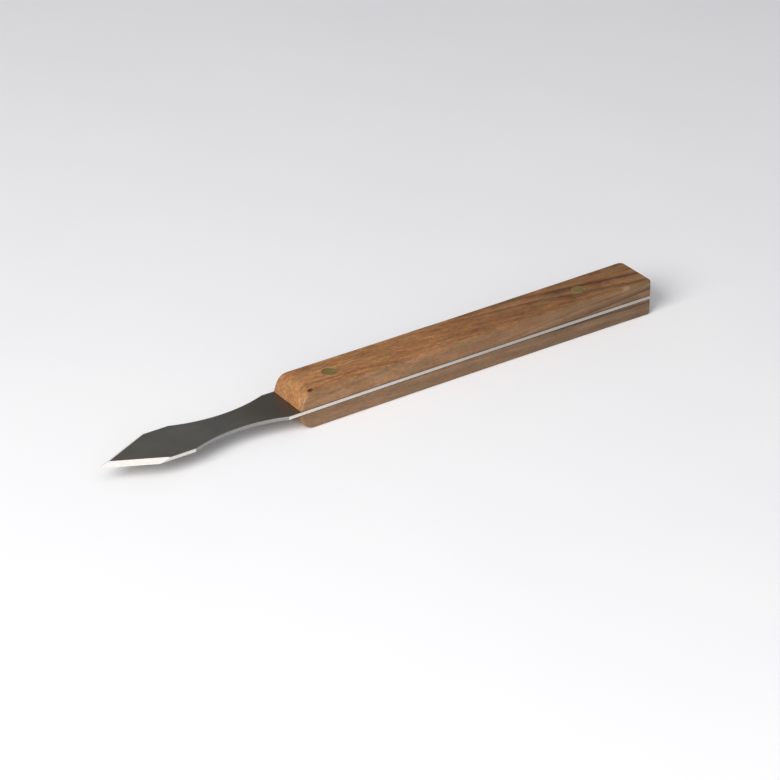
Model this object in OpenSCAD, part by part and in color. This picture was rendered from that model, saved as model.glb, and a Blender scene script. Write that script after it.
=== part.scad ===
// Spear-point bench knife. One flat steel strip is both the blade and a full tang. Two wooden
// scales are glued to the tang and pinned through it with two brass pins, and then the sides and
// faces of the handle are ground flush together.
// Frame: +X from the tip to the butt, +Y across the strip, +Z up. The origin is at the middle of
// the knife's length and width, at the height of the lower scale's flat underside. Millimetres.

/* [Blade] */
// Width of the steel strip, at the blade
strip_w = 16; // [15:0.1:24]
// Thickness of the steel strip
strip_t = 1.2; // [0.8:0.1:2.5]
// Length of the blade, from its tip to the front of the scales
blade_len = 64.6; // [60:0.2:110]
// Length of the point, from the tip to the full width
point_len = 16.2; // [10:0.2:20]
// Angle between the bevels and the flat back
bevel_angle = 37; // [30:1:60]

/* [Waist of the blade] */
// Depth of each of the two ground hollows that make the waist, at the narrowest place
neck_depth = 3.1; // [2:0.1:4]
// Radius of the two hollows
neck_r = 45; // [35:0.5:50]
// Distance of the narrowest place from the front of the scales
neck_setback = 20.1; // [19:0.1:24]

/* [Handle] */
// Length of the scales and of the tang
handle_len = 132; // [120:1:180]
// How much narrower than the strip the handle is ground, at its slight waist
side_relief = 1; // [0.8:0.1:2]
// How much wider than at its waist the handle is at the butt
butt_flare = 0.8; // [0.2:0.1:0.8]
// Distance of the handle's waist from the front of the scales
handle_waist_x = 58; // [45:1:60]
// Thickness of the scale under the tang
lower_scale_t = 5.4; // [4.5:0.1:9]
// Thickness of the scale over the tang
upper_scale_t = 5.5; // [4.5:0.1:9]
// Width of the bevel that eases the lower scale's long edges, at the butt
lower_edge_ease = 0.7; // [0.5:0.1:2]
// Width of the bevel that eases the upper scale's long edges, at the butt
upper_edge_ease = 0.9; // [0.5:0.1:2]

/* [Ends of the handle] */
// Lean of the upper scale's front facet, from upright
upper_front_lean = 18; // [5:1:35]
// Lean of the lower scale's front facet, from upright
lower_front_lean = 7; // [5:1:35]
// Radius between the upper scale's front facet and its outer face
upper_front_r = 5; // [1:0.1:7]
// Radius between the lower scale's front facet and its outer face
lower_front_r = 5; // [1:0.1:7]
// Radius of the upright corner at the butt, on the far side
butt_far_r = 1.8; // [0.5:0.1:4]
// Radius of the upright corner at the butt, on the near side
butt_near_r = 0.5; // [0.3:0.1:4]
// Radius of the edge across the butt, on the upper scale
butt_upper_r = 0.5; // [0.3:0.1:3]
// Radius of the edge across the butt, on the lower scale
butt_lower_r = 1.4; // [0.3:0.1:3]

/* [Pins and glue] */
// Diameter of the brass pins
pin_d = 4.8; // [3:0.1:6]
// Distance of the front pin from the front of the scales
front_pin_x = 15.1; // [12:0.1:30]
// Distance of the rear pin from the butt
rear_pin_setback = 23; // [8:0.1:40]
// Gap all round a pin in its hole
pin_clearance = 0.03; // [0.01:0.01:0.1]
// Thickness of each film of glue
film_t = 0.1; // [0.05:0.01:0.3]

/* [Hidden] */

// Roundness of the true arcs, and the number of straight facets along a side of the handle
// and round a corner at the butt
arc_fn = 96;
side_facets = 12;
corner_facets = 6;
// Angle at which a round that is ground by hand meets the flats that it joins, and how far
// the centre of such a round lies from them
round_meet = 12;
function round_reach(r) = r * cos(round_meet);
// How far a cutting or parting shape reaches past what it cuts
over = 5;

// Heights of the layers, from the underside up
tang_z = lower_scale_t + film_t;
tang_top_z = tang_z + strip_t;
upper_scale_z = tang_top_z + film_t;
handle_h = upper_scale_z + upper_scale_t;

// The sides of the handle are long hollow arcs, nearest each other at the handle's waist
handle_w = strip_w - side_relief;
side_reach = handle_len - handle_waist_x;
side_r = (pow(side_reach, 2) + pow(butt_flare / 2, 2)) / butt_flare;

// Half the handle's width at a distance x behind the front of the scales
function half_width(x) = handle_w / 2 + side_r - sqrt(pow(side_r, 2) - pow(x - handle_waist_x, 2));

// Half the angle of the point, seen from above
point_half_angle = atan(strip_w / 2 / point_len);

rear_pin_x = handle_len - rear_pin_setback;
pin_places = [front_pin_x, rear_pin_x];

// The modules below work from the front of the scales, and this moves a node into the frame
module placed() {
    translate([(blade_len - handle_len) / 2, 0, 0])
        children();
}

// Points along the far side of the handle, from a distance x0 back, and round a butt corner of
// radius r
function far_side(x0, r) =
    let (corner_x = handle_len - r)
    let (corner_y = half_width(corner_x) - r)
    concat(
        [for (i = [0 : side_facets - 1])
            let (x = x0 + (corner_x - x0) * i / side_facets)
            [x, half_width(x)]],
        [for (i = [0 : corner_facets])
            let (turn = 90 * i / corner_facets)
            [corner_x + r * sin(turn), corner_y + r * cos(turn)]]
    );

// The ground handle seen from above, from a distance x0 back, with its points counter-clockwise
module handle_outline(x0) {
    far = far_side(x0, butt_far_r);
    last = len(far) - 1;
    polygon(concat(
        [for (p = far_side(x0, butt_near_r)) [p[0], -p[1]]],
        [for (i = [0 : last]) far[last - i]]
    ));
}

// Section of a scale across the handle, with its outer face at height t and both edges eased
module scale_section(t, ease) {
    half_w = half_width(handle_len);
    polygon([
        [-half_w, 0],
        [half_w, 0],
        [half_w, t - ease],
        [half_w - ease, t],
        [-half_w + ease, t],
        [-half_w, t - ease]
    ]);
}

// What a scale's ends leave of the handle, seen from the side. The scale's glued face is on the
// X axis, and its outer face is at height t.
module scale_side(t, lean, front_r, butt_r) {
    front_reach = round_reach(front_r);
    front_z = t - front_reach;
    front_x = (front_reach + front_z * sin(lean)) / cos(lean);
    butt_x = handle_len - round_reach(butt_r);
    butt_z = t - round_reach(butt_r);
    intersection() {
        // All that lies behind the front facet
        polygon([
            [-2 * over * tan(lean), -2 * over],
            [handle_len + 3 * over, -2 * over],
            [handle_len + 3 * over, t + 2 * over],
            [(t + 2 * over) * tan(lean), t + 2 * over]
        ]);
        union() {
            polygon([
                [-3 * over, -over],
                [handle_len + 2 * over, -over],
                [handle_len + 2 * over, butt_z],
                [butt_x, butt_z],
                [butt_x, t + 3 * over],
                [front_x, t + 3 * over],
                [front_x, front_z],
                [front_x - (front_reach + over) * cos(lean),
                 front_z + (front_reach + over) * sin(lean)]
            ]);
            translate([front_x, front_z])
                circle(front_r, $fn = arc_fn);
            translate([butt_x, butt_z])
                circle(butt_r, $fn = arc_fn);
        }
    }
}

// Both pin holes, right through the handle
module pin_holes() {
    for (x = pin_places)
        translate([x, 0, -over])
            cylinder(r = pin_d / 2 + pin_clearance, h = handle_h + 2 * over, $fn = arc_fn);
}

module pin(x) {
    placed()
        translate([x, 0, 0])
            cylinder(d = pin_d, h = handle_h, $fn = arc_fn);
}

// The strip seen from above: the spear point and the parallel length behind it
module blade_outline() {
    polygon([
        [-blade_len, 0],
        [-blade_len + point_len, -strip_w / 2],
        [-neck_setback, -strip_w / 2],
        [-neck_setback, strip_w / 2],
        [-blade_len + point_len, strip_w / 2]
    ]);
}

// All that the grinding of the near bevel takes away, over a plane that rises from the edge
module bevel_cut() {
    translate([-blade_len, 0, tang_z])
        rotate([0, 0, -point_half_angle])
            rotate([bevel_angle, 0, 0])
                translate([-over, -blade_len / 2, 0])
                    cube([blade_len, blade_len, strip_w]);
}

module blade() {
    color("slategray")
        placed()
            difference() {
                translate([0, 0, tang_z])
                    linear_extrude(strip_t)
                        union() {
                            handle_outline(-neck_setback);
                            blade_outline();
                        }
                for (side = [-1, 1])
                    translate([-neck_setback, side * (strip_w / 2 - neck_depth + neck_r), 0])
                        cylinder(r = neck_r, h = handle_h, $fn = 2 * arc_fn);
                bevel_cut();
                mirror([0, 1, 0])
                    bevel_cut();
                pin_holes();
            }
}

// A scale of thickness t, with its glued face at height 0 and its outer face up
module scale_block(t, ease, lean, front_r, butt_r) {
    intersection() {
        translate([-over, 0, 0])
            rotate([90, 0, 90])
                linear_extrude(handle_len + 2 * over)
                    scale_section(t, ease);
        translate([0, 0, -over])
            linear_extrude(t + 2 * over)
                handle_outline(-over);
        translate([0, strip_w, 0])
            rotate([90, 0, 0])
                linear_extrude(2 * strip_w)
                    scale_side(t, lean, front_r, butt_r);
    }
}

module lower_scale() {
    color("sienna")
        placed()
            difference() {
                translate([0, 0, lower_scale_t])
                    mirror([0, 0, 1])
                        scale_block(lower_scale_t, lower_edge_ease, lower_front_lean,
                                    lower_front_r, butt_lower_r);
                pin_holes();
            }
}

module upper_scale() {
    color("peru")
        placed()
            difference() {
                translate([0, 0, upper_scale_z])
                    scale_block(upper_scale_t, upper_edge_ease, upper_front_lean,
                                upper_front_r, butt_upper_r);
                pin_holes();
            }
}

module glue_film(z) {
    color("saddlebrown")
        placed()
            difference() {
                translate([0, 0, z])
                    linear_extrude(film_t)
                        handle_outline(0);
                pin_holes();
            }
}

module lower_glue_film() {
    glue_film(lower_scale_t);
}

module upper_glue_film() {
    glue_film(tang_top_z);
}

module front_pin() {
    color("darkgoldenrod")
        pin(front_pin_x);
}

module rear_pin() {
    color("goldenrod")
        pin(rear_pin_x);
}

blade();
lower_scale();
upper_scale();
lower_glue_film();
upper_glue_film();
front_pin();
rear_pin();
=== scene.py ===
import math

import bmesh
import bpy
from mathutils import Matrix, Vector, noise


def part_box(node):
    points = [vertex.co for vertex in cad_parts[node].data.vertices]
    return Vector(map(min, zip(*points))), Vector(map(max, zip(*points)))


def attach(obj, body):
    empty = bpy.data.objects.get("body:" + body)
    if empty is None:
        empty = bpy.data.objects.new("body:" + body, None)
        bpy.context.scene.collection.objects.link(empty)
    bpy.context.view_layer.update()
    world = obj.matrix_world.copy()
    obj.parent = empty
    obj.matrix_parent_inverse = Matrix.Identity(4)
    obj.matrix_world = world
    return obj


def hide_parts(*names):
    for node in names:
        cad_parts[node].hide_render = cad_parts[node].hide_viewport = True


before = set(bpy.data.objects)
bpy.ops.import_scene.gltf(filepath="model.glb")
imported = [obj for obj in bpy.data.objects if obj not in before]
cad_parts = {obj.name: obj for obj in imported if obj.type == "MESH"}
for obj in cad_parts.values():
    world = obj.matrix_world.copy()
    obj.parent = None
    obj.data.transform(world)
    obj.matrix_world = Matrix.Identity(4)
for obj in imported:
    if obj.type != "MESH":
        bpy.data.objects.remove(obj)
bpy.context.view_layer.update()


# ---- Steel strip -------------------------------------------------------------------------------
# The blade and the full tang are one length of 1.2 mm tool steel strip. The flat faces are satin
# ground, the waist is cut by a coarse wheel, and the bevels and the sides are ground bright last.

MM = 0.001
strip_low, strip_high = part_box("blade")
strip_thickness = strip_high.z - strip_low.z
strip_half = strip_high.y
scale_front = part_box("upper_glue_film")[0].x
butt_x = strip_high.x

# The point: two bevels that rise from the flat back
point_length = 16.2 * MM
bevel_angle = math.radians(37)
bevel_points = 12
parallel_points = 8
point_half_angle = math.atan(strip_half / point_length)

# The waist: two hollows ground with a round wheel
neck_depth = 3.1 * MM
neck_radius = 45 * MM
neck_x = scale_front - 20.1 * MM
neck_centre_y = strip_half - neck_depth + neck_radius
neck_points = 72
# Half the length of a hollow
neck_reach = neck_radius * math.sin(math.acos(1 - neck_depth / neck_radius))

# The sides of the handle: long hollow arcs, nearest each other at the handle's waist
waist_x = scale_front + 58 * MM
waist_half = strip_half - 0.5 * MM
# How far each side stands out at the butt, past the handle's waist
side_flare = 0.4 * MM
side_radius = ((butt_x - waist_x) ** 2 + side_flare ** 2) / (2 * side_flare)
tang_points = 60
# Rounds of the upright corners at the butt, on the far side and on the near side
butt_corners = (1.8 * MM, 0.5 * MM)
# The least round left at such a corner, where the edges round it have drawn in past it
least_round = 0.02 * MM
corner_points = 9

# How far the strip's long edges are rubbed down, and the steps in which such a round is drawn
strip_ease = 0.16 * MM
ease_steps = 4
# Width of the flat margin that keeps a flat face's shading flat beside a rounded edge
margin = 0.35 * MM
# Faces that meet at more than this angle are shaded as a sharp edge
sharp_angle = math.radians(28)
# The place where a hollow meets the handle's side is found in this many steps, each one closer
meeting_tries = 30


def handle_side(x):
    """Half the width of the handle at x."""
    return waist_half + side_radius - math.sqrt(side_radius ** 2 - (x - waist_x) ** 2)


def spread(a, b, count, last=False):
    """Evenly spaced values from a to b, with b itself only if last is set."""
    steps = count - 1 if last else count
    return [a + (b - a) * i / steps for i in range(count)]


def strip_side(bevel_in, ease, corner):
    """Points along a side of the strip, from the tip to the butt, at one height in its thickness.

    bevel_in is how far the bevel has come in at that height, ease how far the other edges are
    rubbed down there, and corner the round of the butt's upright corner."""
    tip_x = strip_low.x + bevel_in / math.sin(point_half_angle)
    side_y = strip_half - ease
    corner_x = tip_x + side_y / math.tan(point_half_angle)
    radius = neck_radius + ease
    front = -math.acos((neck_centre_y - side_y) / radius)
    rear = -front
    for _ in range(meeting_tries):
        meet_y = handle_side(neck_x + radius * math.sin(rear)) - ease
        rear = math.acos((neck_centre_y - meet_y) / radius)
    hollow = [(neck_x + radius * math.sin(a), neck_centre_y - radius * math.cos(a))
              for a in spread(front, rear, neck_points)]
    tang = [(x, handle_side(x) - ease)
            for x in spread(neck_x + radius * math.sin(rear), butt_x - corner, tang_points)]
    bevel_line = [(x, (x - tip_x) * math.tan(point_half_angle))
                  for x in spread(tip_x, corner_x, bevel_points)]
    parallel = [(x, side_y) for x in spread(corner_x, hollow[0][0], parallel_points)]
    return bevel_line + parallel + hollow + tang + butt_arc(ease, ease, corner)


def butt_arc(side_in, end_in, corner):
    """An upright corner at the butt, with its side and its end cut in by these amounts."""
    round_x = max(corner - end_in, least_round)
    round_y = max(corner - side_in, least_round)
    centre_x = butt_x - end_in - round_x
    centre_y = handle_side(centre_x) - side_in - round_y
    return [(centre_x + round_x * math.sin(a), centre_y + round_y * math.cos(a))
            for a in spread(0, math.pi / 2, corner_points, last=True)]


def loft(name, rings, materials, kind_of_face):
    """A closed piece from rings [(z, (far points, near points))], lowest first.

    The near points are given as if for the far side. kind_of_face(normal, centre) gives the number
    of a face's material."""
    mesh = bpy.data.meshes.new(name)
    points, faces = [], []
    count = len(rings[0][1][0])
    for z, (far, near) in rings:
        points += [(x, y, z) for x, y in far] + [(x, -y, z) for x, y in near]
    for k in range(len(rings) - 1):
        low, high = 2 * count * k, 2 * count * (k + 1)
        for i in range(count - 1):
            faces.append((low + i + 1, low + i, high + i, high + i + 1))
            near = count + i
            faces.append((low + near, low + near + 1, high + near + 1, high + near))
        faces.append((low, low + count, high + count, high))
        faces.append((low + 2 * count - 1, low + count - 1, high + count - 1, high + 2 * count - 1))
    top = 2 * count * (len(rings) - 1)
    for i in range(count - 1):
        faces.append((i, i + 1, count + i + 1, count + i))
        faces.append((top + i + 1, top + i, top + count + i, top + count + i + 1))
    mesh.from_pydata(points, [], faces)
    piece = bpy.data.objects.new(name, mesh)
    bpy.context.scene.collection.objects.link(piece)
    weld(piece)
    for material in materials:
        mesh.materials.append(material)
    for face in mesh.polygons:
        face.material_index = kind_of_face(face.normal, face.center)
        face.use_smooth = True
    return piece


def weld(piece):
    """Merges doubled points, drops faces with no area and turns every face outwards."""
    distance = 0.0001 * MM
    work = bmesh.new()
    work.from_mesh(piece.data)
    bmesh.ops.remove_doubles(work, verts=work.verts, dist=distance)
    bmesh.ops.dissolve_degenerate(work, edges=work.edges, dist=distance)
    bmesh.ops.recalc_face_normals(work, faces=work.faces)
    work.to_mesh(piece.data)
    work.free()


def srgb(code):
    """An sRGB hex colour, such as "7a5c3e", as linear RGBA."""
    parts = [int(code[i:i + 2], 16) / 255 for i in (0, 2, 4)]
    return [c / 12.92 if c <= 0.04045 else ((c + 0.055) / 1.055) ** 2.4 for c in parts] + [1]


def node_adder(tree, prefix=""):
    """A function that adds a node to a tree, and returns it.

    It is called as add(kind, {setting: value}, {input: value or socket}), and the prefix goes
    before each kind."""
    def add(kind, settings=None, inputs=None):
        node = tree.nodes.new(prefix + kind)
        for setting, value in (settings or {}).items():
            setattr(node, setting, value)
        for key, value in (inputs or {}).items():
            if isinstance(value, bpy.types.NodeSocket):
                tree.links.new(value, node.inputs[key])
            else:
                node.inputs[key].default_value = value
        return node

    return add


def new_material(name):
    """A material with no nodes yet, and a function that adds a shader node to it."""
    material = bpy.data.materials.new(name)
    material.use_nodes = True
    material.node_tree.nodes.clear()
    return material, node_adder(material.node_tree, "ShaderNode")


def colour_steps(node, steps):
    """Sets a colour ramp's stops to [(position, colour)]."""
    ramp = node.color_ramp
    while len(ramp.elements) < len(steps):
        ramp.elements.new(0.5)
    for element, (position, colour) in zip(ramp.elements, steps):
        element.position = position
        element.color = colour


# Size of the cloudy patches in the steel's tint
cloud_size = 9 * MM
# Share of the clouds in the tint, beside the marks
cloud_share = 0.45
# Brown that the steel darkens to along X; on the satin face by the scales it is painted shade
darkening_brown = "6b5f50"


def ground_steel(name, dark, light, roughness, grit, run, scratch_depth, darkened):
    """Bare tool steel with fine parallel grinding marks.

    dark and light are its tints, roughness its lowest and highest, and grit the spacing of the
    marks in mm, drawn coarser than a real wheel leaves them so that they show. run is how many
    spacings long they are along X, Y and Z, and scratch_depth their depth in mm. The last argument
    says how far the tint is darkened to a brown along X: the place where that starts, the place
    where it is full, and its share there."""
    material, add = new_material(name)
    place = add("TexCoord")
    drawn_out = add("Mapping", {}, {"Vector": place.outputs["Object"],
                                    "Scale": [1 / (spacings * grit * MM) for spacings in run]})
    marks = add("TexNoise", {}, {"Vector": drawn_out.outputs["Vector"], "Scale": 1.0, "Detail": 3.0,
                                 "Roughness": 0.6})
    cloud = add("TexNoise", {}, {"Vector": place.outputs["Object"], "Scale": 1 / cloud_size,
                                 "Detail": 3.0, "Roughness": 0.55})
    tone = add("Mix", {"data_type": "FLOAT"}, {0: cloud_share, 2: marks.outputs["Fac"],
                                               3: cloud.outputs["Fac"]})
    tint = add("ValToRGB", {}, {"Fac": tone.outputs[0]})
    colour_steps(tint, [(0.3, srgb(dark)), (0.7, srgb(light))])
    gloss = add("MapRange", {}, {"Value": tone.outputs[0], "From Min": 0.3, "From Max": 0.7,
                                 "To Min": roughness[0], "To Max": roughness[1]})
    relief = add("Bump", {}, {"Height": marks.outputs["Fac"], "Strength": 1.0,
                              "Distance": scratch_depth * MM})
    # Darker towards a brown along X; on the satin face by the scales this is painted shade
    split = add("SeparateXYZ", {}, {"Vector": place.outputs["Object"]})
    darkening_share = add("MapRange", {}, {"Value": split.outputs["X"], "From Min": darkened[0],
                                   "From Max": darkened[1], "To Min": 0.0, "To Max": darkened[2]})
    darkened_tint = add("Mix", {"data_type": "RGBA"}, {0: darkening_share.outputs["Result"],
                                              6: tint.outputs["Color"], 7: srgb(darkening_brown)})
    shader = add("BsdfPrincipled", {}, {"Base Color": darkened_tint.outputs[2], "Metallic": 1.0,
                                        "Roughness": gloss.outputs["Result"],
                                        "Normal": relief.outputs["Normal"]})
    add("OutputMaterial", {}, {"Surface": shader.outputs["BSDF"]})
    return material


# Satin face: lengthwise belt marks on hardened strip, a dark even grey
lengthwise = (60, 1, 1)
# Its darkening by the scales is painted shade, standing in for a darker reflection there
satin_steel = ground_steel("Tool steel, satin ground", "89857c", "a09c90",
                           roughness=(0.34, 0.46), grit=0.16, run=lengthwise, scratch_depth=0.0015,
                           darkened=(scale_front - 24 * MM, scale_front - 6 * MM, 0.6))
# Bright ground: the last cuts with a fine wheel, across the edge, light and glossy
across = (1, 60, 60)
bright_steel = ground_steel("Tool steel, bright ground", "d6d2ca", "efebe4",
                            roughness=(0.22, 0.34), grit=0.14, run=across, scratch_depth=0.0006,
                            darkened=(scale_front, scale_front + 74 * MM, 0.42))
# Wheel cut: the hollows of the waist as the coarse wheel left them, grey and dull
wheel_steel = ground_steel("Tool steel, coarse wheel cut", "93918e", "a9a7a4",
                           roughness=(0.42, 0.58), grit=0.22, run=lengthwise, scratch_depth=0.0030,
                           darkened=(scale_front, butt_x, 0.3))

# A face of the strip counts as flat where its normal's Z is over this
flat_normal_z = 0.95
# How far from a hollow's end its faces still count as the bright straight side's
seam_width = 0.05 * MM


def strip_face_kind(normal, centre):
    """0 for the flat faces, 1 for the bevels and straight sides, 2 for the hollows of the waist."""
    if abs(normal.z) > flat_normal_z:
        return 0
    if abs(centre.x - neck_x) < neck_reach - seam_width:
        return 2
    return 1


# Heights in the strip's thickness, each with how far its long edges are rubbed down there
eases = [(strip_ease * (1 - math.cos(turn)), strip_ease * (1 - math.sin(turn)))
         for turn in spread(0, math.pi / 2, ease_steps + 1, last=True)]
eases += [(strip_thickness - height, ease) for height, ease in reversed(eases)]
# The same with how far the bevel has come in between, and with a flat face's margin at each end
levels = [(height, height / math.tan(bevel_angle), ease) for height, ease in eases]
levels.insert(0, (0, margin, strip_ease + margin))
levels.append((strip_thickness, strip_thickness / math.tan(bevel_angle) + margin,
               strip_ease + margin))
strip_rings = [(strip_low.z + height,
                [strip_side(bevel_in, ease, corner) for corner in butt_corners])
               for height, bevel_in, ease in levels]

strip = loft("steel_strip", strip_rings, [satin_steel, bright_steel, wheel_steel],
             strip_face_kind)

# The pins' holes, drilled right through each layer of the handle
pin_low, pin_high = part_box("front_pin")
pin_radius = (pin_high.x - pin_low.x) / 2
pin_clearance = 0.03 * MM
pin_points = 72
pin_places = [sum(corner.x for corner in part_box(node)) / 2 for node in ("front_pin", "rear_pin")]


def drill(piece, tools):
    """Cuts the tools out of the piece, and marks its sharp edges."""
    for tool in tools:
        cut = piece.modifiers.new("cut", "BOOLEAN")
        cut.operation = "DIFFERENCE"
        cut.solver = "EXACT"
        cut.object = tool
    bpy.context.view_layer.update()
    graph = bpy.context.evaluated_depsgraph_get()
    mesh = bpy.data.meshes.new_from_object(piece.evaluated_get(graph))
    mesh.name = piece.name
    piece.modifiers.clear()
    piece.data = mesh
    mesh.set_sharp_from_angle(angle=sharp_angle)


def drill_bits():
    """One cylinder for each pin, longer than the handle is thick."""
    bits = []
    for x in pin_places:
        bpy.ops.mesh.primitive_cylinder_add(vertices=pin_points, radius=pin_radius + pin_clearance,
                                            depth=3 * pin_high.z, location=(x, 0, pin_high.z / 2))
        bits.append(bpy.context.object)
    return bits


bits = drill_bits()
drill(strip, bits)
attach(strip, "root")
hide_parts("blade")


# ---- Wooden scales -----------------------------------------------------------------------------
# Two slips of an open-pored brown hardwood, sawn from one board and laid back to back. They are
# glued to the tang, and their faces, facets and sides are sanded by hand and oiled.

upper_low, upper_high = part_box("upper_scale")
lower_low, lower_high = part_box("lower_scale")
facet_corner = 0.6 * MM
side_points = 110
facet_points = 7
glue_edge_ease = 0.12 * MM
glue_edge_steps = 3
# For each scale: the front facet's lean from upright and the round over it, the round along the
# sides and the one across the butt
upper_shape = (math.radians(18), 5.0 * MM, 1.0 * MM, 0.5 * MM)
lower_shape = (math.radians(7), 5.0 * MM, 0.5 * MM, 1.4 * MM)
# Rings round each of these three rounds, and the least height between two rings
round_steps = (14, 10, 7)
least_ring_gap = 0.004 * MM
# How unevenly the long edges were sanded: a share of their round, over this length
hand_wobble = 0.16
wobble_length = 13 * MM


def rounded_in(height, top, radius):
    """How far a round of this radius under a flat top has drawn in at a height."""
    above = max(height - (top - radius), 0)
    return radius - math.sqrt(max(radius ** 2 - above ** 2, 0))


def facet_x(height, top, lean, radius):
    """How far behind the scale's front end its facet, and the round above it, lie at a height."""
    centre = (radius + (top - radius) * math.sin(lean)) / math.cos(lean)
    if height <= top - radius + radius * math.sin(lean):
        return height * math.tan(lean)
    return centre - math.sqrt(max(radius ** 2 - (height - top + radius) ** 2, 0))


def scale_side(height, top, shape, side, inner, corner):
    """Points along a scale's side at a height over its glued face, from its facet to the butt.

    side sets the wobble of its edge apart from the others, inner draws it all in, and corner is
    the round of the butt's upright corner."""
    lean, front_round, edge_round, butt_round = shape
    start = facet_x(height, top, lean, front_round) + scale_front + inner
    ease = rounded_in(glue_edge_ease - height, 0, glue_edge_ease) if height < glue_edge_ease else 0
    end_in = rounded_in(height, top, butt_round) + inner + ease

    def side_in(x):
        wobble = noise.noise(Vector((x / wobble_length, side, 0)))
        return rounded_in(height, top, edge_round * (1 + hand_wobble * wobble)) + inner + ease

    front = [(start + facet_corner * (1 - math.cos(a)),
              handle_side(start) - side_in(start) - facet_corner * (1 - math.sin(a)))
             for a in spread(0, math.pi / 2, facet_points)]
    long_end = butt_x - max(corner, end_in + least_round)
    long_side = [(x, handle_side(x) - side_in(x))
                 for x in spread(start + facet_corner, long_end, side_points)]
    return front + long_side + butt_arc(side_in(butt_x), end_in, corner)


def scale_heights(top, shape):
    """The heights of a scale's rings: close together round its edges, and few between them."""
    heights = {0, top}
    heights |= set(spread(0, glue_edge_ease, glue_edge_steps + 1, last=True))
    for radius, steps in zip(shape[1:], round_steps):
        heights |= {top - radius + radius * math.sin(math.pi / 2 * i / steps)
                    for i in range(steps)}
    ordered = sorted(height for height in heights if height >= 0)
    return [h for h, following in zip(ordered, ordered[1:] + [2 * top])
            if following - h > least_ring_gap]


# The wood's figure. Each size is in mm along the grain, across it and through it.
fibre_size = (9, 0.45, 0.40)
speckle_size = (1.8, 0.75, 0.75)
mottle_size = (10, 3.5, 3.5)
olive_size = (11, 2.6, 2.6)
pore_size = (1.7, 0.42, 0.42)
# Growth rings: how far apart they are, how far they wander and over what size, in mm
ring_spacing = 1.5
ring_wander = 3.2
wander_size = (38, 8, 8)
# The dark ring near the butt fades in between these places
ring_fade = (45 * MM, 75 * MM)
# Distances from the middle of the handle at which the sides' grey begins and is full: painted
# light, for the light that the white table throws on them and their sheen
side_sheen_band = (6.3 * MM, 7.3 * MM)
pore_depth = 0.05 * MM
olive_tint = "806a41"
pore_tint = "3a2416"
# The grey painted on the sides as painted light: bounced light from the table and their sheen
side_sheen_tint = "6b5842"
ring_tint = "482a1b"


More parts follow.
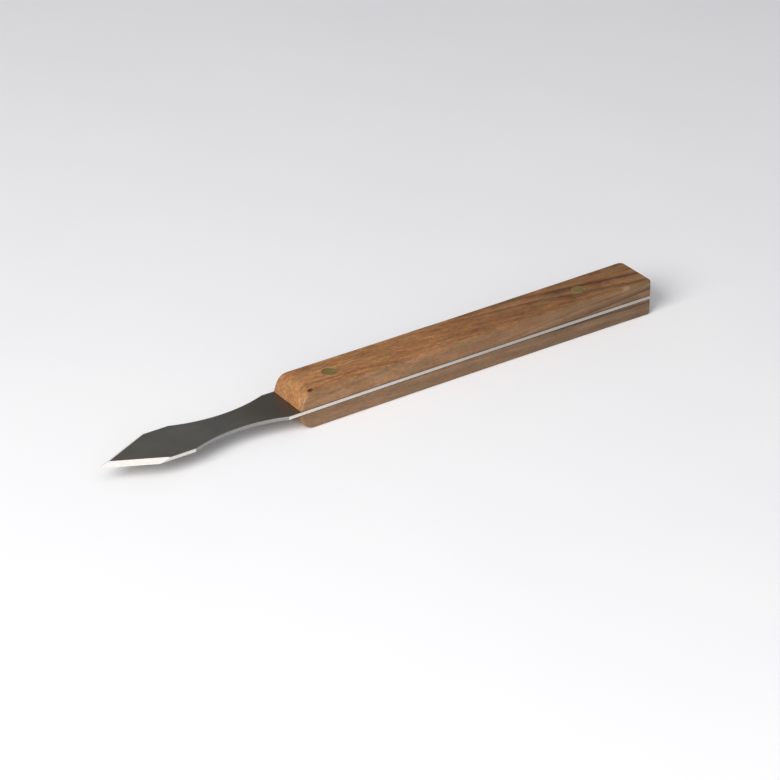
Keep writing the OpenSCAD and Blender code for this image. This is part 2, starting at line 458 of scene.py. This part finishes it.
def oiled_hardwood(name, tones, growth, growth_offset, dark_ring, marks):
    """Brown open-pored hardwood, sanded and oiled.

    tones are its palest wood, middle wood, late wood and darkest streak. growth is the direction
    across the growth rings, growth_offset moves them, and dark_ring is where one dark ring lies
    along it and half its thickness, in mm. marks are spots in the surface, each with its place and
    reach in mm, its share and its colour."""
    material, add = new_material(name)
    place = add("TexCoord")
    place_mm = add("VectorMath", {"operation": "SCALE"}, {0: place.outputs["Object"],
                                                          "Scale": 1 / MM})
    spot = place_mm.outputs["Vector"]

    def grain(stretch, detail, roughness):
        """Noise from 0 to 1 whose patches have these lengths, in mm, along X, Y and Z."""
        patch = add("Mapping", {}, {"Vector": spot, "Scale": [1 / length for length in stretch]})
        return add("TexNoise", {}, {"Vector": patch.outputs["Vector"], "Scale": 1.0,
                                    "Detail": detail, "Roughness": roughness}).outputs["Fac"]

    def plus(share, value, base):
        """base plus a share of value, whose middle is 0.5."""
        centred = add("Math", {"operation": "SUBTRACT"}, {0: value, 1: 0.5})
        return add("Math", {"operation": "MULTIPLY_ADD"},
                   {0: centred.outputs["Value"], 1: share, 2: base}).outputs["Value"]

    def soft_step(value, start, end, low=0.0, high=1.0):
        """low to high as the value goes from start to end."""
        return add("MapRange", {"interpolation_type": "SMOOTHSTEP"},
                   {"Value": value, "From Min": start, "From Max": end, "To Min": low,
                    "To Max": high}).outputs["Result"]

    split = add("SeparateXYZ", {}, {"Vector": place.outputs["Object"]})
    along = soft_step(split.outputs["X"], scale_front, butt_x)

    # Growth rings that wander a little and differ from year to year
    unit = Vector(growth).normalized()
    depth = add("VectorMath", {"operation": "DOT_PRODUCT"}, {0: spot, 1: unit})
    wandered = plus(ring_wander, grain(wander_size, 2.0, 0.5), depth.outputs["Value"])
    ring_place = add("Math", {"operation": "MULTIPLY_ADD"}, {0: wandered, 1: 1 / ring_spacing,
                                                             2: growth_offset})
    years = add("TexNoise", {"noise_dimensions": "1D"}, {"W": ring_place.outputs["Value"],
                                                         "Scale": 1.0, "Detail": 2.0,
                                                         "Roughness": 0.6}).outputs["Fac"]
    ring_share = add("MapRange", {}, {"Value": along, "To Min": 0.55, "To Max": 1.35})
    fibre = grain(fibre_size, 3.0, 0.6)
    speckle = grain(speckle_size, 2.0, 0.6)
    mottle = grain(mottle_size, 2.0, 0.5)
    speckle_share = add("MapRange", {}, {"Value": along, "To Min": 0.75, "To Max": 0.45})
    tone = add("MapRange", {}, {"Value": along, "To Min": 0.37, "To Max": 0.64}).outputs["Result"]
    tone = plus(ring_share.outputs["Result"], years, tone)
    tone = plus(0.50, fibre, tone)
    tone = plus(speckle_share.outputs["Result"], speckle, tone)
    tone = plus(0.60, mottle, tone)
    wood = add("ValToRGB", {}, {"Fac": tone})
    colour_steps(wood, list(zip((0.16, 0.44, 0.72, 0.98), [srgb(t) for t in tones])))

    # Some patches of the board are more olive than the rest
    olive = soft_step(grain(olive_size, 2.0, 0.5), 0.42, 0.66, 0.0, 0.30)
    tinted = add("Mix", {"data_type": "RGBA"}, {0: olive, 6: wood.outputs["Color"],
                                                7: srgb(olive_tint)})

    # Pores: open vessels, as rows of short dark lines that crowd into some of the rings
    pore_place = add("Mapping", {}, {"Vector": spot, "Scale": [1 / size for size in pore_size]})
    pore = add("TexVoronoi", {}, {"Vector": pore_place.outputs["Vector"], "Scale": 1.0})
    pore_mask = soft_step(pore.outputs["Distance"], 0.10, 0.30, 1.0, 0.0)
    crowded = soft_step(years, 0.42, 0.62, 0.15, 0.65)
    pore_shade = add("Math", {"operation": "MULTIPLY"}, {0: pore_mask, 1: crowded})
    pored = add("Mix", {"data_type": "RGBA"}, {0: pore_shade.outputs["Value"],
                                               6: tinted.outputs[2], 7: srgb(pore_tint)})

    # Painted light: the sides are greyed for the table's bounced light and their sheen
    width = add("Math", {"operation": "ABSOLUTE"}, {0: split.outputs["Y"]})
    side_sheen = soft_step(width.outputs["Value"], *side_sheen_band, 0.0, 0.42)
    side_sheened = add("Mix", {"data_type": "RGBA"}, {0: side_sheen, 6: pored.outputs[2], 7: srgb(side_sheen_tint)})

    # One narrow dark ring comes to the surface near the butt
    off_ring = add("Math", {"operation": "SUBTRACT"}, {0: depth.outputs["Value"], 1: dark_ring[0]})
    off_ring = plus(0.5, speckle, off_ring.outputs["Value"])
    from_ring = add("Math", {"operation": "ABSOLUTE"}, {0: off_ring}).outputs["Value"]
    ring_mask = add("Math", {"operation": "MULTIPLY"},
                    {0: soft_step(from_ring, 0.3 * dark_ring[1], dark_ring[1], 0.72, 0.0),
                     1: soft_step(split.outputs["X"], *ring_fade)})
    ringed = add("Mix", {"data_type": "RGBA"}, {0: ring_mask.outputs["Value"],
                                                6: side_sheened.outputs[2], 7: srgb(ring_tint)})

    finished = ringed.outputs[2]
    for mark_place, mark_reach, mark_share, mark_colour in marks:
        away = add("VectorMath", {"operation": "DISTANCE"}, {0: spot, 1: mark_place})
        mark = soft_step(plus(1.2, speckle, away.outputs["Value"]), 0.4 * mark_reach, mark_reach,
                         mark_share, 0.0)
        finished = add("Mix", {"data_type": "RGBA"}, {0: mark, 6: finished,
                                                      7: srgb(mark_colour)}).outputs[2]

    surface = add("Math", {"operation": "MULTIPLY_ADD"}, {0: pore_mask, 1: -1.0, 2: fibre})
    relief = add("Bump", {}, {"Height": surface.outputs["Value"], "Strength": 0.6,
                              "Distance": pore_depth})
    gloss = soft_step(mottle, 0.3, 0.7, 0.52, 0.68)
    shader = add("BsdfPrincipled", {}, {"Base Color": finished, "IOR": 1.5,
                                        "Roughness": gloss, "Normal": relief.outputs["Normal"]})
    add("OutputMaterial", {}, {"Surface": shader.outputs["BSDF"]})
    return material


# In the upper scale's face a pale bruise by the butt, and a pit by the front pin whose dark is
# partly the wood's broken-out speck and partly painted shade in its hollow
pit_place = Vector((scale_front + 4.3 * MM, -6.1 * MM, upper_high.z - 0.10 * MM))
bruise_place = Vector((butt_x - 9.8 * MM, -7.4 * MM, upper_high.z))
pit_size = (0.60 * MM, 0.42 * MM, 0.50 * MM)
# The pit's dark: the speck's own colour, and painted shade inside the hollow
pit_speck_and_shade_mark = (pit_place / MM, 1.15, 0.95, "351608")
bruise_mark = (bruise_place / MM, 2.0, 0.38, "a88d6a")

# Oiled brown hardwood: open pores, long dark streaks, and warm and satin where hands polish it.
# The lower scale is a little greyer, and its rings tilt the other way.
upper_wood = oiled_hardwood("Brown hardwood, sanded and oiled, upper",
                            tones=("ba8555", "96643a", "704928", "4a2d18"),
                            growth=(1, 5.9, -12.5), growth_offset=0.0, dark_ring=(-4.78, 0.36),
                            marks=[pit_speck_and_shade_mark, bruise_mark])
lower_wood = oiled_hardwood("Brown hardwood, sanded and oiled, lower",
                            tones=("9f7553", "825b3d", "62442d", "402919"),
                            growth=(1, 16, 39), growth_offset=4.3, dark_ring=(3.55, 0.55),
                            marks=[])


def wooden_scale(name, glued_z, outer_z, shape, number, material):
    """A scale between its glued face and its outer face, which may lie above or below it."""
    top = abs(outer_z - glued_z)
    up = 1 if outer_z > glued_z else -1
    rings = [(0, margin)] + [(h, 0) for h in scale_heights(top, shape)] + [(top, margin)]
    rings = [(glued_z + up * h, [scale_side(h, top, shape, number + 10 * i, inner, corner)
                                 for i, corner in enumerate(butt_corners)])
             for h, inner in rings]
    if up < 0:
        rings.reverse()
    return loft(name, rings, [material], lambda normal, centre: 0)


def wood_pit(name, place, size):
    """A tool for the small hollow where a speck of the wood has broken out."""
    bpy.ops.mesh.primitive_uv_sphere_add(segments=20, ring_count=12, radius=1)
    tool = bpy.context.object
    tool.name = name
    tool.data.transform(Matrix.Translation(place) @ Matrix.Diagonal((*size, 1)))
    return tool


upper = wooden_scale("upper_wood_scale", upper_low.z, upper_high.z, upper_shape, 1, upper_wood)
lower = wooden_scale("lower_wood_scale", lower_high.z, lower_low.z, lower_shape, 2, lower_wood)
pit = wood_pit("wood_pit", pit_place, pit_size)
drill(upper, bits + [pit])
drill(lower, bits)
for scale, node, slot in ((upper, "upper_scale", "upper_hardwood"),
                          (lower, "lower_scale", "lower_hardwood")):
    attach(scale, "root")
    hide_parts(node)


# ---- Glue lines --------------------------------------------------------------------------------
# Brown-black epoxy between the tang and each scale, squeezed out and scraped off. It lies a hair
# below the steel and the wood.

glue_recess = 0.10 * MM
dust_size = 0.5 * MM
dust_height = 0.02 * MM


def cured_epoxy(name):
    """Brown-black epoxy with sanding dust in it: dull, with a fine grain."""
    material, add = new_material(name)
    place = add("TexCoord")
    dust = add("TexNoise", {}, {"Vector": place.outputs["Object"], "Scale": 1 / dust_size,
                                "Detail": 3.0})
    tint = add("ValToRGB", {}, {"Fac": dust.outputs["Fac"]})
    colour_steps(tint, [(0.35, srgb("2a1c13")), (0.7, srgb("4a3527"))])
    relief = add("Bump", {}, {"Height": dust.outputs["Fac"], "Strength": 0.5,
                              "Distance": dust_height})
    shader = add("BsdfPrincipled", {}, {"Base Color": tint.outputs["Color"], "IOR": 1.55,
                                        "Roughness": 0.55, "Normal": relief.outputs["Normal"]})
    add("OutputMaterial", {}, {"Surface": shader.outputs["BSDF"]})
    return material


def glue_side(inner, corner):
    """Points along a side of a glue line, drawn in from the handle's side."""
    start = scale_front + inner
    long_side = [(x, handle_side(x) - inner) for x in spread(start, butt_x - corner, side_points)]
    return long_side + butt_arc(inner, inner, corner)


epoxy = cured_epoxy("Epoxy, cured and scraped")
for node in ("lower_glue_film", "upper_glue_film"):
    low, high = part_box(node)
    sides = [glue_side(glue_recess, corner) for corner in butt_corners]
    line = loft(node.replace("film", "line"), [(low.z, sides), (high.z, sides)], [epoxy],
                lambda normal, centre: 0)
    drill(line, bits)
    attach(line, "root")
    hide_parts(node)

for tool in bits + [pit]:
    bpy.data.objects.remove(tool)


# ---- Pins --------------------------------------------------------------------------------------
# Two brass rods driven through the handle, cut off and sanded flush with both scales. Their ends
# have dulled to a brown olive, and a hair's gap rings each one.

pin_end_ease = 0.05 * MM
bloom_size = 1.6 * MM
# Belt marks on the pins' ends: their length, spacing and depth
belt_length = 8 * MM
belt_grit = 0.12 * MM
belt_depth = 0.003 * MM


def tarnished_brass(name):
    """Sanded brass that has dulled: brown-olive bloom, with straight marks from the belt."""
    material, add = new_material(name)
    place = add("TexCoord")
    bloom = add("TexNoise", {}, {"Vector": place.outputs["Object"], "Scale": 1 / bloom_size,
                                 "Detail": 4.0, "Roughness": 0.6})
    tint = add("ValToRGB", {}, {"Fac": bloom.outputs["Fac"]})
    colour_steps(tint, [(0.3, srgb("a08a55")), (0.7, srgb("bda76e"))])
    belt = add("Mapping", {}, {"Vector": place.outputs["Object"],
                               "Scale": (1 / belt_length, 1 / belt_grit, 1 / belt_grit)})
    marks = add("TexNoise", {}, {"Vector": belt.outputs["Vector"], "Scale": 1.0, "Detail": 2.0})
    gloss = add("MapRange", {}, {"Value": bloom.outputs["Fac"], "To Min": 0.55, "To Max": 0.72})
    relief = add("Bump", {}, {"Height": marks.outputs["Fac"], "Strength": 0.7,
                              "Distance": belt_depth})
    shader = add("BsdfPrincipled", {}, {"Base Color": tint.outputs["Color"], "Metallic": 1.0,
                                        "Roughness": gloss.outputs["Result"],
                                        "Normal": relief.outputs["Normal"]})
    add("OutputMaterial", {}, {"Surface": shader.outputs["BSDF"]})
    return material


def pin_tree(name):
    """A tree that sets a row of like pins, with softened ends, upright along X."""
    tree = bpy.data.node_groups.new(name, "GeometryNodeTree")
    tree.interface.new_socket("Geometry", in_out="OUTPUT", socket_type="NodeSocketGeometry")
    for label, kind in (("Count", "NodeSocketInt"), ("First place", "NodeSocketVector"),
                        ("Step", "NodeSocketVector"), ("Radius", "NodeSocketFloat"),
                        ("Length", "NodeSocketFloat"), ("End ease", "NodeSocketFloat"),
                        ("Metal", "NodeSocketMaterial")):
        tree.interface.new_socket(label, in_out="INPUT", socket_type=kind)

    add = node_adder(tree)
    given = add("NodeGroupInput").outputs
    eases = add("ShaderNodeMath", {"operation": "MULTIPLY"}, {0: given["End ease"], 1: 2.0})
    body_length = add("ShaderNodeMath", {"operation": "SUBTRACT"},
                      {0: given["Length"], 1: eases.outputs[0]})
    end_radius = add("ShaderNodeMath", {"operation": "SUBTRACT"},
                     {0: given["Radius"], 1: given["End ease"]})
    end_share = add("ShaderNodeMath", {"operation": "DIVIDE"},
                    {0: end_radius.outputs[0], 1: given["Radius"]})
    rod = add("GeometryNodeMeshCylinder", {"fill_type": "NGON"},
              {"Vertices": pin_points, "Radius": given["Radius"], "Depth": body_length.outputs[0]})
    is_top = rod.outputs["Top"]
    is_bottom = rod.outputs["Bottom"]
    solid = rod.outputs["Mesh"]
    for chosen in (is_top, is_bottom):
        raised = add("GeometryNodeExtrudeMesh", {"mode": "FACES"},
                     {"Mesh": solid, "Selection": chosen, "Offset Scale": given["End ease"],
                      "Individual": False})
        eased = add("GeometryNodeScaleElements", {"domain": "FACE"},
                    {"Geometry": raised.outputs["Mesh"], "Selection": raised.outputs["Top"],
                     "Scale": end_share.outputs[0]})
        solid = eased.outputs["Geometry"]
    row = add("GeometryNodeMeshLine", {"mode": "OFFSET"},
              {"Count": given["Count"], "Start Location": given["First place"],
               "Offset": given["Step"]})
    placed = add("GeometryNodeInstanceOnPoints", {}, {"Points": row.outputs["Mesh"],
                                                      "Instance": solid})
    real = add("GeometryNodeRealizeInstances", {}, {"Geometry": placed.outputs["Instances"]})
    finished = add("GeometryNodeSetMaterial", {}, {"Geometry": real.outputs["Geometry"],
                                                   "Material": given["Metal"]})
    add("NodeGroupOutput", {}, {"Geometry": finished.outputs["Geometry"]})
    return tree


def grown(name, tree, inputs):
    """Runs a tree with these named inputs and returns its result as a plain mesh piece."""
    piece = bpy.data.objects.new(name, bpy.data.meshes.new(name))
    bpy.context.scene.collection.objects.link(piece)
    modifier = piece.modifiers.new(name, "NODES")
    modifier.node_group = tree
    sockets = {item.name: item.identifier for item in tree.interface.items_tree
               if item.in_out == "INPUT"}
    for label, value in inputs.items():
        modifier[sockets[label]] = value
    bpy.context.view_layer.update()
    graph = bpy.context.evaluated_depsgraph_get()
    mesh = bpy.data.meshes.new_from_object(piece.evaluated_get(graph))
    piece.modifiers.clear()
    piece.data = mesh
    mesh.name = name
    for face in mesh.polygons:
        face.use_smooth = True
    mesh.set_sharp_from_angle(angle=sharp_angle)
    return piece


pin_count = len(pin_places)
pin_step = (pin_places[-1] - pin_places[0]) / (pin_count - 1)
pins = grown("brass_pins", pin_tree("Row of pins"), {
    "Count": pin_count,
    "First place": (pin_places[0], 0.0, pin_high.z / 2),
    "Step": (pin_step, 0.0, 0.0),
    "Radius": pin_radius,
    "Length": pin_high.z - pin_low.z,
    "End ease": pin_end_ease,
    "Metal": tarnished_brass("Brass, sanded flush and dulled"),
})
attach(pins, "root")
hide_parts("front_pin", "rear_pin")


# ---- Table and light ---------------------------------------------------------------------------
# A plain white table under one big soft window light from the blade's end, two weaker sheets of
# light over the near side and low in front, and a dim room, which the flat steel faces mirror.

floor_size = 6.0
floor_drop = 0.02 * MM
floor_mesh = bpy.data.meshes.new("table")
half = floor_size / 2
floor_mesh.from_pydata([(-half, -half, -floor_drop), (half, -half, -floor_drop),
                        (half, half, -floor_drop), (-half, half, -floor_drop)],
                       [], [(0, 1, 2, 3)])
floor = bpy.data.objects.new("table", floor_mesh)
bpy.context.scene.collection.objects.link(floor)
white_table, add = new_material("White painted board")
table_place = add("TexCoord")
table_grain = add("TexNoise", {}, {"Vector": table_place.outputs["Object"], "Scale": 14.0,
                                   "Detail": 2.0})
table_tint = add("ValToRGB", {}, {"Fac": table_grain.outputs["Fac"]})
colour_steps(table_tint, [(0.3, srgb("f1f1f3")), (0.7, srgb("f3f3f4"))])
table_shader = add("BsdfPrincipled", {}, {"Base Color": table_tint.outputs["Color"],
                                          "Roughness": 0.9, "Specular IOR Level": 0.1})
# The board can be seen through from below
clear = add("BsdfTransparent")
facing = add("NewGeometry")
one_sided = add("MixShader", {}, {0: facing.outputs["Backfacing"],
                                  1: table_shader.outputs["BSDF"], 2: clear.outputs["BSDF"]})
add("OutputMaterial", {}, {"Surface": one_sided.outputs["Shader"]})
floor_mesh.materials.append(white_table)


def soft_light(name, direction, distance, size, watts, colour):
    """A square sheet of light that faces the middle of the knife from a direction."""
    lamp = bpy.data.lights.new(name, "AREA")
    lamp.shape = "SQUARE"
    lamp.size = size
    lamp.energy = watts
    lamp.color = srgb(colour)[:3]
    light = bpy.data.objects.new(name, lamp)
    bpy.context.scene.collection.objects.link(light)
    away = Vector(direction).normalized()
    light.location = away * distance
    light.rotation_mode = "QUATERNION"
    light.rotation_quaternion = away.to_track_quat("Z", "Y")
    light.visible_camera = False
    return light


soft_light("window_light", direction=(-0.95, -0.35, 0.68), distance=1.3, size=0.75, watts=17.0,
           colour="fffdfa")
soft_light("near_light", direction=(-0.15, -0.45, 0.90), distance=1.5, size=0.9, watts=3.5,
           colour="ffffff")
soft_light("front_light", direction=(-0.45, -0.85, 0.35), distance=1.5, size=1.2, watts=8.0,
           colour="ffffff")

room = bpy.data.worlds.new("dim room")
bpy.context.scene.world = room
room.use_nodes = True
room_light = room.node_tree.nodes["Background"]
room_light.inputs["Color"].default_value = srgb("e9ebf2")
room_light.inputs["Strength"].default_value = 0.30
bpy.context.scene.view_settings.view_transform = "Standard"


# ---- Camera ------------------------------------------------------------------------------------
# A long lens, looking down along the knife from beyond the blade's near side.

camera_azimuth = math.radians(-34.16)
camera_elevation = math.radians(29.51)
camera_roll = math.radians(-0.171)
camera_target = Vector((3.447, 0, -1.122)) * MM
camera_distance = 930.2 * MM
camera_lens = 140.4
camera_sensor = 36.0

lens = bpy.data.cameras.new("camera")
lens.lens = camera_lens
lens.sensor_width = camera_sensor
lens.clip_start = 0.05
lens.clip_end = 20.0
camera = bpy.data.objects.new("camera", lens)
bpy.context.scene.collection.objects.link(camera)
back = Vector((math.sin(camera_azimuth) * math.cos(camera_elevation),
               -math.cos(camera_azimuth) * math.cos(camera_elevation),
               math.sin(camera_elevation)))
level = Vector((0, 0, 1)).cross(back).normalized()
right = (level * math.cos(camera_roll) + back.cross(level) * math.sin(camera_roll)).normalized()
upward = back.cross(right)
turn = Matrix((right, upward, back)).transposed().to_4x4()
camera.matrix_world = Matrix.Translation(camera_target + back * camera_distance) @ turn
bpy.context.scene.camera = camera
